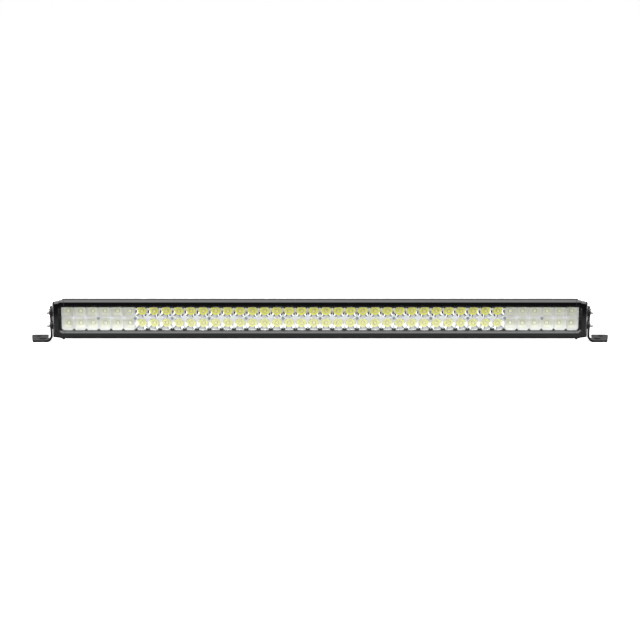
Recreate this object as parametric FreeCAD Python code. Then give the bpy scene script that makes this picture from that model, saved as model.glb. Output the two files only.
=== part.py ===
import FreeCAD, Part
import math
import os

# Double-row LED light bar for vehicles and trailers, in millimetres.
# X runs along the bar, the lit face looks towards -Y and Z is up.
# The origin is the centre of the two foot slots, on the mounting plane.

Vec = FreeCAD.Vector
X_AXIS = Vec(1, 0, 0)
Y_AXIS = Vec(0, 1, 0)
Z_AXIS = Vec(0, 0, 1)

# ---- driving dimensions ----
cell_pitch = 24.0            # one reflector cup, both ways
module_columns = 6
module_count = 7             # the first and the last are flood modules
module_length = cell_pitch * module_columns
array_half = module_length * module_count / 2

face_y = -31.0               # front face of the bezel
mid_z = 49.5                 # centre line of the bar above the mounting plane
bar_half_height = 38.5
outer_chamfer = 4.0
rail_depth = 18.4            # depth of the tall front rail
body_half_height = 32.0

window_half_length = 504.5
window_half_height = 23.7
window_chamfer = 3.4
window_corner_r = 5.0
lip_thickness = 3.4
cavity_half_height = 26.0

housing_half_length = 495.7
gasket_thickness = 0.8
joint_x = housing_half_length + gasket_thickness
shelf_x = 505.5              # where the tall rail ends on the end cap
rail_end_slope = 5.0         # the rail slopes down over this length before it ends
rail_end_drop = 4.0
cap_end_x = 519.0
cap_taper_top = 3.8
cap_taper_bottom = 2.5
cap_top_corner_r = 3.6
cap_bottom_corner_r = 1.2
cap_rim = 1.5                # straight edge of the cap flange behind its chamfer
cap_side_chamfer = 2.3
cap_outer_half_height = 28.0
cap_shoulder = 9.0           # straight part of the cap's inner end behind the base plate
gasket_recess = 0.4          # end cap gasket below the outer skin

lens_gasket_thickness = 0.8
lens_thickness = 3.0
reflector_y = -17.5          # front plane of the reflector cups
reflector_web = 1.5
reflector_half_height = 25.7
cup_rim_r = 11.6
cup_depth = 11.0             # rim to focus, where the emitter sits
cup_wall_thickness = 1.2
flood_rim_half = 11.5        # flood cups are rounded squares
flood_back_half = 4.2
flood_corner_r = 5.0
board_y = -5.5               # front of the LED boards
board_thickness = 1.6
pad_thickness = 0.5
base_y = board_y + board_thickness + pad_thickness
board_half_height = 25.0
emitter_base_half = 2.5
emitter_base_height = 0.7
emitter_dome_r = 2.3
base_thickness = 5.0

fin_pitch = 7.35
fin_thickness = 2.4
fin_tip_y = 39.0
fin_tip_drop = 24.0          # how much shorter the outermost fins are
fin_root = 0.5               # how deep the fins run into the base plate
rear_boss_depth = 4.0        # metal behind the rear end cap screws
tunnel_half_height = 14.0
tunnel_depth = 11.4
tunnel_wall = 3.0

plate = 4.0                  # bracket steel
ear_inner_x = 523.7
bend_r = 9.0                 # inside radius of the bend
ear_y = -4.0                 # line of the two bracket bolts
pivot_z = 33.0
clamp_z = 59.0
tilt_limit = 15.0            # degrees each way
strap_half_width = 10.5
waist_half_width = 8.0
clamp_lobe_r = 12.0
pivot_lobe_r = 11.0
foot_front_y = ear_y - strap_half_width
foot_rear_y = 35.0
foot_front_x = 563.5         # outboard corners of the foot
foot_rear_x = 574.5
foot_rear_inner_x = 539.5
foot_corner_r = 6.0
slot_x = 546.0
slot_length = 14.0
foot_hole_r = 4.5
hole_x = 556.5
hole_y = 21.0

m6_r = 3.0
m6_clearance_r = 3.2
m4_r = 2.0
m3_r = 1.5
boss_r = 8.5
bolt_reach = 14.0            # depth of the bracket bolt holes
friction_washer = 0.5
flat_washer = 1.6
spring_washer = 1.6
bolt_head = 4.0
side_gap = 0.1               # keeps parts of two bodies from rubbing

rail_screw_z = 31.0          # above and below the centre line
rail_screw_y = -20.3         # end cap screws in the tall front rails
cap_screw_head_r = 3.5
cap_screw_head = 4.0
rear_screw_sink = 5.0
rear_screw_lift = 4.0        # rear end cap screws behind the base plate
test_port_y = -25.0
test_port_r = 1.25

driver_thickness = 1.6
driver_half_length = 230.0
driver_gap = 8.0
driver_lift = 7.6            # driver boards above the floor of their tunnel
feed_x = 485.0               # wiring holes from the cavity to the tunnel
feed_lift = 8.0
feed_r = 3.0

fitting_x = 509.0            # cable gland on the right, vent on the left
fitting_y = 13.0             # inner end of the fitting's stem
fitting_seat_lift = 1.5      # rear face of the end cap behind its fins
fitting_thread_r = 5.0
cable_r = 3.5
cable_play = 0.3             # the stem of the gland is this much wider than the cable
gland_flats = 14.0
gland_flange = 4.0
gland_collar_r = 5.6
gland_collar = 7.0
gland_seal_r = 4.6
gland_seal = 8.0
gland_seal_lift = 3.0        # the seal starts this far behind the seat
gland_guide = 2.0            # narrow part of the stem that centres the cable
nut_lift = 4.5               # the gland nut starts this far behind the seat
nut_skirt = 5.5
nut_dome = 4.5
nut_mouth_r = 5.2
nut_thread = 6.5
vent_head_r = 7.0
vent_head = 6.0
vent_stem_bore_r = 2.0
vent_chamber_r = 4.5
vent_chamber_lift = 2.5
vent_chamber = 2.0
vent_membrane = 0.4

lip_back_y = face_y + lip_thickness
lens_y = lip_back_y + lens_gasket_thickness
lens_back_y = lens_y + lens_thickness
base_back_y = base_y + base_thickness
tunnel_back_y = base_back_y + tunnel_depth
rail_back_y = face_y + rail_depth
boss_x = ear_inner_x - friction_washer
outer_face_x = ear_inner_x + plate
cap_rear_half_height = 2.2 * fin_pitch
driver_y = base_back_y + driver_lift
test_port_x = joint_x + 3.2
SIDES = (("left", -1), ("right", 1))


# ---- helpers ----
def box(x0, x1, y0, y1, z0, z1):
    """Box between two corners, given low and high along each axis."""
    return Part.makeBox(x1 - x0, y1 - y0, z1 - z0, Vec(x0, y0, z0))


def rod(radius, start, axis, length):
    """Cylinder that starts at a point and runs along an axis."""
    return Part.makeCylinder(radius, length, start, axis)


def prism_x(points_yz, x0, x1):
    """Closed outline in the YZ plane, swept from x0 to x1."""
    points = [Vec(x0, y, z) for y, z in points_yz]
    face = Part.Face(Part.makePolygon(points + points[:1]))
    return face.extrude(Vec(x1 - x0, 0, 0))


def fused(shapes):
    """All the shapes as one clean solid."""
    result = shapes[0].multiFuse(shapes[1:]) if len(shapes) > 1 else shapes[0]
    return result.removeSplitter()


def mirrored(shape, side):
    """The right-hand shape as it is, or its mirror image on the left."""
    if side > 0:
        return shape
    return shape.mirror(Vec(0, 0, 0), X_AXIS)


def hex_prism(across_flats, start, axis_x, length):
    """Hexagon head with its axis along X."""
    corner = across_flats / math.sqrt(3)
    points = []
    for k in range(6):
        angle = math.radians(60 * k)
        points.append(start + Vec(0, corner * math.cos(angle), corner * math.sin(angle)))
    face = Part.Face(Part.makePolygon(points + points[:1]))
    return face.extrude(Vec(axis_x * length, 0, 0))


def ring_x(outer_r, inner_r, x0, x1, y, z):
    """Washer with its axis along X."""
    low = min(x0, x1)
    width = abs(x1 - x0)
    outer = rod(outer_r, Vec(low, y, z), X_AXIS, width)
    return outer.cut(rod(inner_r, Vec(low, y, z), X_AXIS, width))


def rounded_rect(half_x, half_z, radius, y, mid_x=0.0):
    """Wire of a rounded rectangle in a plane across Y, centred on the bar."""
    inner_x = half_x - radius
    inner_z = half_z - radius
    diagonal = radius * math.sqrt(0.5)
    edges = []
    corners = ((1, 1), (-1, 1), (-1, -1), (1, -1))
    for index, (sx, sz) in enumerate(corners):
        centre = Vec(mid_x + sx * inner_x, y, mid_z + sz * inner_z)
        on_side = centre + Vec(sx * radius, 0, 0)
        on_top = centre + Vec(0, 0, sz * radius)
        middle = centre + Vec(sx * diagonal, 0, sz * diagonal)
        first, last = (on_side, on_top) if sx * sz > 0 else (on_top, on_side)
        edges.append(Part.Arc(first, middle, last).toShape())
        next_sx, next_sz = corners[(index + 1) % 4]
        next_centre = Vec(mid_x + next_sx * inner_x, y, mid_z + next_sz * inner_z)
        if next_sx * next_sz > 0:
            start_next = next_centre + Vec(next_sx * radius, 0, 0)
        else:
            start_next = next_centre + Vec(0, 0, next_sz * radius)
        edges.append(Part.LineSegment(last, start_next).toShape())
    return Part.Wire(edges)


def screw_columns():
    """X of the reflector screws, one every three columns."""
    step = 3 * cell_pitch
    return [step * k for k in range(-6, 7)]


# ---- housing ----
def fin_heights():
    return [fin_pitch * k for k in range(-4, 5)]


def fin_tip(height):
    """Fins get shorter away from the centre line, along a curve."""
    return fin_tip_y - fin_tip_drop * (height / (4 * fin_pitch)) ** 2


def fitting_seat_y():
    """Flat rear face of an end cap."""
    return fin_tip(cap_rear_half_height) + fitting_seat_lift


def rail_screw_spots():
    """Y and Z of the four end cap screws."""
    rear_z = 2.5 * fin_pitch
    return [
        (rail_screw_y, mid_z + rail_screw_z),
        (rail_screw_y, mid_z - rail_screw_z),
        (base_back_y + rear_screw_lift, mid_z + rear_z),
        (base_back_y + rear_screw_lift, mid_z - rear_z),
    ]


def housing_outline(x0, x1, inset=0.0):
    """Front rails, side walls and base plate, with the front left closed."""
    front = face_y + inset
    rail_top = bar_half_height - inset
    wall_top = body_half_height - inset
    points = [
        (front, mid_z - rail_top + outer_chamfer),
        (front + outer_chamfer, mid_z - rail_top),
        (rail_back_y, mid_z - rail_top),
        (rail_back_y, mid_z - wall_top),
        (base_back_y, mid_z - wall_top),
        (base_back_y, mid_z + wall_top),
        (rail_back_y, mid_z + wall_top),
        (rail_back_y, mid_z + rail_top),
        (front + outer_chamfer, mid_z + rail_top),
        (front, mid_z + rail_top - outer_chamfer),
    ]
    return prism_x(points, x0, x1)


def feed_holes(y, length):
    """Wiring holes near both ends of the base plate."""
    return [rod(feed_r, Vec(side * feed_x, y, mid_z + feed_lift), Y_AXIS, length) for _, side in SIDES]


def hollows(x0, x1):
    """The optics cavity and the driver tunnel behind the base plate."""
    cavity = box(x0, x1, lip_back_y, base_y, mid_z - cavity_half_height, mid_z + cavity_half_height)
    low = mid_z - tunnel_half_height
    high = mid_z + tunnel_half_height
    tunnel = box(x0, x1, base_back_y, tunnel_back_y, low, high)
    return Part.makeCompound([cavity, tunnel])


def window_cutter():
    """The window through the front lip, with its sloped rim."""
    straight = Part.Face(rounded_rect(window_half_length, window_half_height, window_corner_r, face_y - 1))
    through = straight.extrude(Vec(0, lip_thickness + 2, 0))
    outer = rounded_rect(
        window_half_length + window_chamfer,
        window_half_height + window_chamfer,
        window_corner_r + window_chamfer,
        face_y,
    )
    inner = rounded_rect(window_half_length, window_half_height, window_corner_r, face_y + window_chamfer)
    slope = Part.makeLoft([outer, inner], True, True)
    return through.fuse(slope)


def make_housing():
    half = housing_half_length
    shell = housing_outline(-half, half)
    fins = []
    for height in fin_heights():
        low = mid_z + height - fin_thickness / 2
        fins.append(box(-half, half, base_back_y - fin_root, fin_tip(height), low, low + fin_thickness))
    low = mid_z - tunnel_half_height - tunnel_wall
    high = mid_z + tunnel_half_height + tunnel_wall
    fins.append(box(-half, half, base_back_y - fin_root, tunnel_back_y + tunnel_wall, low, high))
    for y, z in rail_screw_spots()[2:]:
        low = z - fin_pitch / 2
        fins.append(box(-half, half, base_back_y - fin_root, y + rear_boss_depth, low, low + fin_pitch))
    body = fused([shell] + fins)
    body = body.cut(hollows(-half, half)).cut(window_cutter())
    for y, z in rail_screw_spots():
        body = body.cut(rod(m4_r, Vec(-half, y, z), X_AXIS, 2 * half))
    tapped = [rod(m3_r, Vec(x, base_y, mid_z), Y_AXIS, base_thickness - 1) for x in screw_columns()]
    return body.cut(Part.makeCompound(tapped + feed_holes(base_y, base_thickness)))


# ---- end caps ----
def flange_wire(y, inset_z, inset_side):
    """Outline of the right end cap's flange, at one depth of its chamfer."""
    start = joint_x
    end = cap_end_x - inset_side
    top = mid_z + bar_half_height - inset_z
    bottom = mid_z - bar_half_height + inset_z
    top_r = cap_top_corner_r
    bottom_r = cap_bottom_corner_r
    top_corner = top - cap_taper_top * (cap_end_x - top_r - start) / (cap_end_x - start)
    bottom_corner = bottom + cap_taper_bottom * (cap_end_x - bottom_r - start) / (cap_end_x - start)
    top_bulge = top_r * (1 - math.sqrt(0.5))
    bottom_bulge = bottom_r * (1 - math.sqrt(0.5))
    upper_arc = Part.Arc(
        Vec(end - top_r, y, top_corner),
        Vec(end - top_bulge, y, top_corner - top_bulge),
        Vec(end, y, top_corner - top_r),
    )
    lower_arc = Part.Arc(
        Vec(end, y, bottom_corner + bottom_r),
        Vec(end - bottom_bulge, y, bottom_corner + bottom_bulge),
        Vec(end - bottom_r, y, bottom_corner),
    )
    edges = [
        Part.LineSegment(Vec(start, y, bottom), Vec(start, y, top)).toShape(),
        Part.LineSegment(Vec(start, y, top), Vec(end - top_r, y, top_corner)).toShape(),
        upper_arc.toShape(),
        Part.LineSegment(Vec(end, y, top_corner - top_r), Vec(end, y, bottom_corner + bottom_r)).toShape(),
        lower_arc.toShape(),
        Part.LineSegment(Vec(end - bottom_r, y, bottom_corner), Vec(start, y, bottom)).toShape(),
    ]
    return Part.Wire(edges)


def cap_block(half_height, front_y, shoulder_y, x0, x1):
    """Block behind the flange: straight up to its shoulder, then narrowing."""
    rear_half = cap_rear_half_height
    points = [
        (front_y, mid_z - half_height),
        (shoulder_y, mid_z - half_height),
        (fitting_seat_y(), mid_z - rear_half),
        (fitting_seat_y(), mid_z + rear_half),
        (shoulder_y, mid_z + half_height),
        (front_y, mid_z + half_height),
    ]
    return prism_x(points, x0, x1)


def cap_rail():
    """The tall rails carried on over the cap, sloping down where they end."""
    rail = housing_outline(joint_x, shelf_x)
    slope_x = shelf_x - rail_end_slope
    front = face_y + outer_chamfer
    for sign in (-1, 1):
        top = mid_z + sign * bar_half_height
        corners = [
            Vec(slope_x, front, top),
            Vec(shelf_x, front, top),
            Vec(shelf_x, front, top - sign * rail_end_drop),
        ]
        wedge = Part.Face(Part.makePolygon(corners + corners[:1]))
        rail = rail.cut(wedge.extrude(Vec(0, rail_back_y - front, 0)))
    return rail


def make_end_cap(side):
    rim_front = face_y + outer_chamfer
    flange_front = flange_wire(face_y, outer_chamfer, cap_side_chamfer)
    flange_back = flange_wire(rim_front, 0, 0)
    slope = Part.makeLoft([flange_front, flange_back], True, True)
    rim = Part.Face(flange_back).extrude(Vec(0, cap_rim, 0))
    step_x = shelf_x - rail_end_slope
    inner = cap_block(body_half_height, rail_back_y, base_back_y + cap_shoulder, joint_x, step_x)
    outer = cap_block(cap_outer_half_height, rim_front, base_back_y, step_x, cap_end_x)
    cap = fused([slope, rim, cap_rail(), inner, outer])
    for z in (pivot_z, clamp_z):
        cap = cap.fuse(rod(boss_r, Vec(cap_end_x - 1, ear_y, z), X_AXIS, boss_x - cap_end_x + 1))
    pocket_end = array_half + 2.5
    cap = cap.cut(hollows(joint_x, pocket_end)).cut(window_cutter())
    for z in (pivot_z, clamp_z):
        cap = cap.cut(rod(m6_r, Vec(boss_x - bolt_reach, ear_y, z), X_AXIS, bolt_reach))
    for seat, y, z in cap_screw_seats():
        cap = cap.cut(rod(m4_r + 0.2, Vec(joint_x, y, z), X_AXIS, seat - joint_x))
        cap = cap.cut(rod(cap_screw_head_r + 0.1, Vec(seat, y, z), X_AXIS, cap_end_x - seat))
    cap = cap.cut(rod(test_port_r, Vec(test_port_x, test_port_y, mid_z - bar_half_height), Z_AXIS, 6.0))
    cap = cap.cut(fitting_hole())
    return mirrored(cap.removeSplitter(), side)


def cap_screw_seats():
    """X of the seat, Y and Z of the four screws of the right end cap."""
    seats = (shelf_x, shelf_x, cap_end_x - rear_screw_sink, cap_end_x - rear_screw_sink)
    return [(seat, y, z) for seat, (y, z) in zip(seats, rail_screw_spots())]


def make_cap_gasket(side):
    """Flat gasket between housing and cap, open over both hollows."""
    start = housing_half_length
    tail_half = cap_rear_half_height + 6.0
    tail_end = tunnel_back_y + tunnel_wall
    tail = box(start, joint_x, base_back_y - fin_root, tail_end, mid_z - tail_half, mid_z + tail_half)
    sheet = fused([housing_outline(start, joint_x, gasket_recess), tail])
    sheet = sheet.cut(hollows(start, joint_x)).cut(window_cutter())
    for y, z in rail_screw_spots():
        sheet = sheet.cut(rod(m4_r + 0.2, Vec(start, y, z), X_AXIS, gasket_thickness))
    return mirrored(sheet, side)


def make_cap_screws(side):
    """Four M4 socket screws through a cap into the housing."""
    screws = []
    key_flats = 3.0
    key_depth = 2.0
    tip = housing_half_length - 14.0
    for seat, y, z in cap_screw_seats():
        shank = rod(m4_r, Vec(tip, y, z), X_AXIS, seat - tip)
        head = rod(cap_screw_head_r, Vec(seat, y, z), X_AXIS, cap_screw_head)
        key = hex_prism(key_flats, Vec(seat + cap_screw_head - key_depth, y, z), 1, key_depth)
        screws.append(shank.fuse(head).cut(key))
    return mirrored(Part.makeCompound(screws), side)


def make_test_port_screw(side):
    """Small pan-head plug under each cap."""
    base = mid_z - bar_half_height
    head_r = 2.4
    head_height = 2.0
    shank = rod(test_port_r, Vec(test_port_x, test_port_y, base), Z_AXIS, 5.0)
    head = rod(head_r, Vec(test_port_x, test_port_y, base - head_height), Z_AXIS, head_height)
    lower_edge = [edge for edge in head.Edges if edge.BoundBox.ZMax < base - head_height + 0.1]
    rounded = head.makeFillet(0.8, lower_edge)
    return mirrored(shank.fuse(rounded), side)


# ---- window ----
def make_lens():
    half_x = array_half + 2.0
    half_z = cavity_half_height - 0.3
    return box(-half_x, half_x, lens_y, lens_back_y, mid_z - half_z, mid_z + half_z)


def make_lens_gasket():
    half_x = array_half + 2.0
    half_z = cavity_half_height - 0.3
    outer = box(-half_x, half_x, lip_back_y, lens_y, mid_z - half_z, mid_z + half_z)
    opening = Part.Face(
        rounded_rect(window_half_length + 0.3, window_half_height + 0.3, window_corner_r, lip_back_y)
    )
    return outer.cut(opening.extrude(Vec(0, lens_gasket_thickness, 0)))


def make_lens_retainer(sign):
    """Thin rail that holds the lens forward, above or below the reflectors."""
    near = mid_z + sign * (cavity_half_height - 2.0)
    far = mid_z + sign * (cavity_half_height - 0.1)
    return box(-array_half, array_half, lens_back_y, reflector_y, min(near, far), max(near, far))


# ---- reflectors ----
def cup_centres(module):
    """X and Z of the twelve cups of one module."""
    first = -array_half + module * module_length + cell_pitch / 2
    spots = []
    for column in range(module_columns):
        for row in (-0.5, 0.5):
            spots.append((first + column * cell_pitch, mid_z + row * cell_pitch))
    return spots


def parabola_focal_length():
    """Focal length of a cup whose focus lies cup_depth behind its rim."""
    return (math.hypot(cup_depth, cup_rim_r) - cup_depth) / 2


def cup_profile_point(depth):
    """Radius of the mirror surface at a depth behind the rim."""
    focal = parabola_focal_length()
    height = cup_depth + focal - depth
    return math.sqrt(4 * focal * height)


def cup_void():
    """Space inside a cup at the origin of X and Z, for cutting."""
    back = board_y - reflector_y
    samples = 4
    curve_points = []
    for k in range(samples + 1):
        depth = back * k / samples
        curve_points.append(Vec(cup_profile_point(depth), reflector_y + depth, 0))
    curve = Part.BSplineCurve()
    curve.interpolate(curve_points)
    front_centre = Vec(0, reflector_y, 0)
    back_centre = Vec(0, board_y, 0)
    edges = [
        Part.LineSegment(front_centre, curve_points[0]).toShape(),
        curve.toShape(),
        Part.LineSegment(curve_points[-1], back_centre).toShape(),
        Part.LineSegment(back_centre, front_centre).toShape(),
    ]
    return Part.Face(Part.Wire(edges)).revolve(Vec(0, 0, 0), Y_AXIS, 360)


def cup_wall():
    """Outside of a cup: a cone from behind the web to the LED board."""
    collar = 0.4
    collar_length = 2.0
    front = reflector_y + reflector_web
    height = board_y - front
    back_r = cup_profile_point(board_y - reflector_y) + cup_wall_thickness
    front_r = min(cup_profile_point(reflector_web) + cup_wall_thickness, cell_pitch / 2 - 0.05)
    cone = Part.makeCone(front_r, back_r, height, Vec(0, front, 0), Y_AXIS)
    return cone.fuse(rod(back_r + collar, Vec(0, board_y - collar_length, 0), Y_AXIS, collar_length))


def flood_section(depth, extra):
    """Rounded square of a flood cup at a depth, on the origin of X and Z."""
    back = board_y - reflector_y
    share = depth / back
    half = flood_back_half + (flood_rim_half - flood_back_half) * math.sqrt(1 - share ** 2) + extra
    half = min(half, cell_pitch / 2 - 0.05)
    section = rounded_rect(half, half, min(flood_corner_r, 0.7 * half), reflector_y + depth)
    return section.translated(Vec(0, 0, -mid_z))


def flood_loft(first_depth, extra):
    """Bowl with rounded square sections from a depth to the LED board."""
    back = board_y - reflector_y
    steps = 3
    depths = [first_depth + (back - first_depth) * k / steps for k in range(steps + 1)]
    return Part.makeLoft([flood_section(depth, extra) for depth in depths], True, True)


def is_flood(module):
    return module in (0, module_count - 1)


def make_reflector(module):
    """Moulded tray of twelve cups, screwed at its centre and at both ends."""
    gap = 0.1
    x0 = -array_half + module * module_length + gap
    x1 = x0 + module_length - 2 * gap
    web = box(
        x0, x1, reflector_y, reflector_y + reflector_web,
        mid_z - reflector_half_height, mid_z + reflector_half_height,
    )
    walls = []
    voids = []
    if is_flood(module):
        wall = flood_loft(reflector_web, cup_wall_thickness)
        void = flood_loft(0.0, 0.0)
    else:
        wall = cup_wall()
        void = cup_void()
    for x, z in cup_centres(module):
        walls.append(wall.translated(Vec(x, 0, z)))
        voids.append(void.translated(Vec(x, 0, z)))
    tray = web.multiFuse(walls).cut(Part.makeCompound(voids))
    holes = [
        rod(m3_r + 0.2, Vec(x, reflector_y, mid_z), Y_AXIS, board_y - reflector_y)
        for x in screw_columns()
        if x0 - 1 < x < x1 + 1
    ]
    return tray.cut(Part.makeCompound(holes))


def make_reflector_screws():
    """Pan-head screws in the diamonds between the cups."""
    head_r = 2.8
    head_y = reflector_y - 2.0
    drive_y = reflector_y - 1.0
    arm = 1.5
    groove = 0.35
    shank_end = base_y + base_thickness - 1.5
    screws = []
    for x in screw_columns():
        shank = rod(m3_r, Vec(x, reflector_y, mid_z), Y_AXIS, shank_end - reflector_y)
        head = rod(head_r, Vec(x, head_y, mid_z), Y_AXIS, reflector_y - head_y)
        wide = box(x - arm, x + arm, head_y, drive_y, mid_z - groove, mid_z + groove)
        tall = box(x - groove, x + groove, head_y, drive_y, mid_z - arm, mid_z + arm)
        screws.append(shank.fuse(head).cut(wide.fuse(tall)))
    return Part.makeCompound(screws)


# ---- LED boards and electronics ----
def make_led_board(module):
    gap = 0.3
    x0 = -array_half + module * module_length + gap
    x1 = x0 + module_length - 2 * gap
    half_z = board_half_height
    board = box(x0, x1, board_y, board_y + board_thickness, mid_z - half_z, mid_z + half_z)
    holes = [
        rod(m3_r + 0.2, Vec(x, board_y, mid_z), Y_AXIS, board_thickness)
        for x in screw_columns()
        if x0 - 1 < x < x1 + 1
    ]
    return board.cut(Part.makeCompound(holes))


def make_emitters(module):
    """Twelve LED packages: a square base with an emitting dome on it."""
    half = emitter_base_half
    front = board_y - emitter_base_height
    packages = []
    for x, z in cup_centres(module):
        base = box(x - half, x + half, front, board_y, z - half, z + half)
        dome = Part.makeSphere(emitter_dome_r, Vec(x, front, z), Vec(0, -1, 0), 0, 90, 360)
        packages.append(base.fuse(dome))
    return Part.makeCompound(packages)


def make_thermal_pad():
    half_x = array_half - 9.0
    half_z = board_half_height - 0.5
    front = board_y + board_thickness
    pad = box(-half_x, half_x, front, base_y, mid_z - half_z, mid_z + half_z)
    holes = [rod(m3_r + 0.2, Vec(x, front, mid_z), Y_AXIS, pad_thickness) for x in screw_columns()]
    return pad.cut(Part.makeCompound(holes + feed_holes(front, pad_thickness)))


def make_board_jumpers():
    """Pairs of small bridges that join one LED board to the next."""
    half_x = 3.0
    height = 1.0
    edge_offset = board_half_height - 2.5
    bridges = []
    for module in range(1, module_count):
        x = -array_half + module * module_length
        for z in (mid_z - edge_offset, mid_z + edge_offset):
            bridges.append(box(x - half_x, x + half_x, board_y - height, board_y, z - 1.0, z + 1.0))
    return Part.makeCompound(bridges)


def make_driver_board(side):
    outer = driver_gap + 2 * driver_half_length
    half_z = tunnel_half_height - 0.2
    back = driver_y + driver_thickness
    board = box(driver_gap, outer, driver_y, back, mid_z - half_z, mid_z + half_z)
    return mirrored(board, side)


def driver_columns():
    """Where each driver board carries a group of its large parts."""
    count = 6
    step = 2 * driver_half_length / count
    return [driver_gap + step * (k + 0.5) for k in range(count)]


def make_driver_inductors():
    radius = 5.0
    height = 5.0
    parts = []
    for side in (-1, 1):
        for x in driver_columns():
            parts.append(rod(radius, Vec(side * x, driver_y - height, mid_z), Y_AXIS, height))
    return Part.makeCompound(parts)


def make_driver_capacitors():
    radius = 4.0
    height = 6.5
    beside_inductor = 14.0
    parts = []
    for side in (-1, 1):
        for x in driver_columns():
            start = Vec(side * (x + beside_inductor), driver_y - height, mid_z)
            parts.append(rod(radius, start, Y_AXIS, height))
    return Part.makeCompound(parts)


# ---- rear fittings ----
def fitting_hole():
    """Threaded hole from the wiring hollow out through the rear of a cap."""
    start = Vec(fitting_x, base_back_y + 3.0, mid_z)
    return rod(fitting_thread_r, start, Y_AXIS, fitting_seat_y() - start.y)


def y_hex(across_flats, x, y0, y1):
    """Hexagon with its axis along Y."""
    corner = across_flats / math.sqrt(3)
    points = []
    for k in range(6):
        angle = math.radians(60 * k + 30)
        points.append(Vec(x + corner * math.cos(angle), y0, mid_z + corner * math.sin(angle)))
    face = Part.Face(Part.makePolygon(points + points[:1]))
    return face.extrude(Vec(0, y1 - y0, 0))


def gland_rod(radius, y0, y1):
    """Cylinder on the axis of the gland, between two depths."""
    return rod(radius, Vec(fitting_x, y0, mid_z), Y_AXIS, y1 - y0)


def vent_rod(radius, y0, y1):
    """Cylinder on the axis of the vent, between two depths."""
    return rod(radius, Vec(-fitting_x, y0, mid_z), Y_AXIS, y1 - y0)


def make_gland_body():
    """Threaded stem, hexagon flange and collar of the cable gland."""
    seat = fitting_seat_y()
    seal_start = seat + gland_seal_lift
    collar_end = seat + gland_flange + gland_collar
    stem = gland_rod(fitting_thread_r, fitting_y, seat)
    flange = y_hex(gland_flats, fitting_x, seat, seat + gland_flange)
    collar = gland_rod(gland_collar_r, seat + gland_flange, collar_end)
    body = fused([stem, flange, collar])
    body = body.cut(gland_rod(cable_r + cable_play, fitting_y, seal_start - gland_guide))
    body = body.cut(gland_rod(cable_r, fitting_y, seal_start))
    return body.cut(gland_rod(gland_seal_r, seal_start, collar_end))


def make_gland_seal():
    start = fitting_seat_y() + gland_seal_lift
    end = start + gland_seal
    return gland_rod(gland_seal_r, start, end).cut(gland_rod(cable_r, start, end))


def make_gland_nut():
    """Domed clamping nut over the collar and the seal."""
    start = fitting_seat_y() + nut_lift
    dome_start = start + nut_skirt
    skirt = y_hex(gland_flats, fitting_x, start, dome_start)
    dome = Part.makeCone(gland_flats / 2, nut_mouth_r, nut_dome, Vec(fitting_x, dome_start, mid_z), Y_AXIS)
    nut = fused([skirt, dome])
    inside = gland_rod(gland_collar_r, start, start + nut_thread)
    return nut.cut(inside).cut(gland_rod(cable_r, start, dome_start + nut_dome))


def make_vent_body():
    """Screw-in pressure vent with slots round its cap."""
    seat = fitting_seat_y()
    chamber_start = seat + vent_chamber_lift
    stem = vent_rod(fitting_thread_r, fitting_y, seat)
    body = fused([stem, vent_rod(vent_head_r, seat, seat + vent_head)])
    body = body.cut(vent_rod(vent_stem_bore_r, fitting_y, chamber_start))
    body = body.cut(vent_rod(vent_chamber_r, chamber_start, chamber_start + vent_chamber))
    slot_half = 0.8
    slot_reach = vent_head_r + 1.0
    slot_start = chamber_start + vent_membrane + 0.2
    for k in range(6):
        slot = box(0.0, slot_reach, slot_start, chamber_start + vent_chamber, -slot_half, slot_half)
        slot.rotate(Vec(0, 0, 0), Y_AXIS, 60 * k)
        body = body.cut(slot.translated(Vec(-fitting_x, 0, mid_z)))
    return body


def make_vent_membrane():
    start = fitting_seat_y() + vent_chamber_lift
    return vent_rod(vent_chamber_r, start, start + vent_membrane)


# ---- brackets ----
def ear_outline():
    """Flat ear of the right bracket, with lobes round both bolts."""
    x = ear_inner_x
    strap = box(x, x + plate, ear_y - strap_half_width, ear_y + strap_half_width, plate + bend_r, pivot_z)
    waist = box(x, x + plate, ear_y - waist_half_width, ear_y + waist_half_width, pivot_z, clamp_z)
    pivot_lobe = rod(pivot_lobe_r, Vec(x, ear_y, pivot_z), X_AXIS, plate)
    clamp_lobe = rod(clamp_lobe_r, Vec(x, ear_y, clamp_z), X_AXIS, plate)
    return fused([strap, waist, pivot_lobe, clamp_lobe])


def arc_slot():
    """Curved slot for the clamp bolt, centred on the pivot."""
    x = ear_inner_x - 1
    reach = clamp_z - pivot_z
    width = plate + 2
    ring = ring_x(reach + m6_clearance_r, reach - m6_clearance_r, x, x + width, ear_y, pivot_z)
    limit = math.radians(tilt_limit)
    far = 2 * reach
    wedge = prism_x(
        [
            (ear_y, pivot_z),
            (ear_y + far * math.sin(limit), pivot_z + far * math.cos(limit)),
            (ear_y - far * math.sin(limit), pivot_z + far * math.cos(limit)),
        ],
        x,
        x + width,
    )
    slot = ring.common(wedge)
    for angle in (-limit, limit):
        centre = Vec(x, ear_y + reach * math.sin(angle), pivot_z + reach * math.cos(angle))
        slot = slot.fuse(rod(m6_clearance_r, centre, X_AXIS, width))
    return slot


def make_bend():
    """Quarter bend from the ear down to the foot."""
    centre = Vec(ear_inner_x + plate + bend_r, foot_front_y, plate + bend_r)
    width = 2 * strap_half_width
    outer = rod(bend_r + plate, centre, Y_AXIS, width)
    inner = rod(bend_r, centre, Y_AXIS, width)
    quarter = box(ear_inner_x, centre.x, foot_front_y, foot_front_y + width, 0, centre.z)
    return outer.cut(inner).common(quarter)


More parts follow.
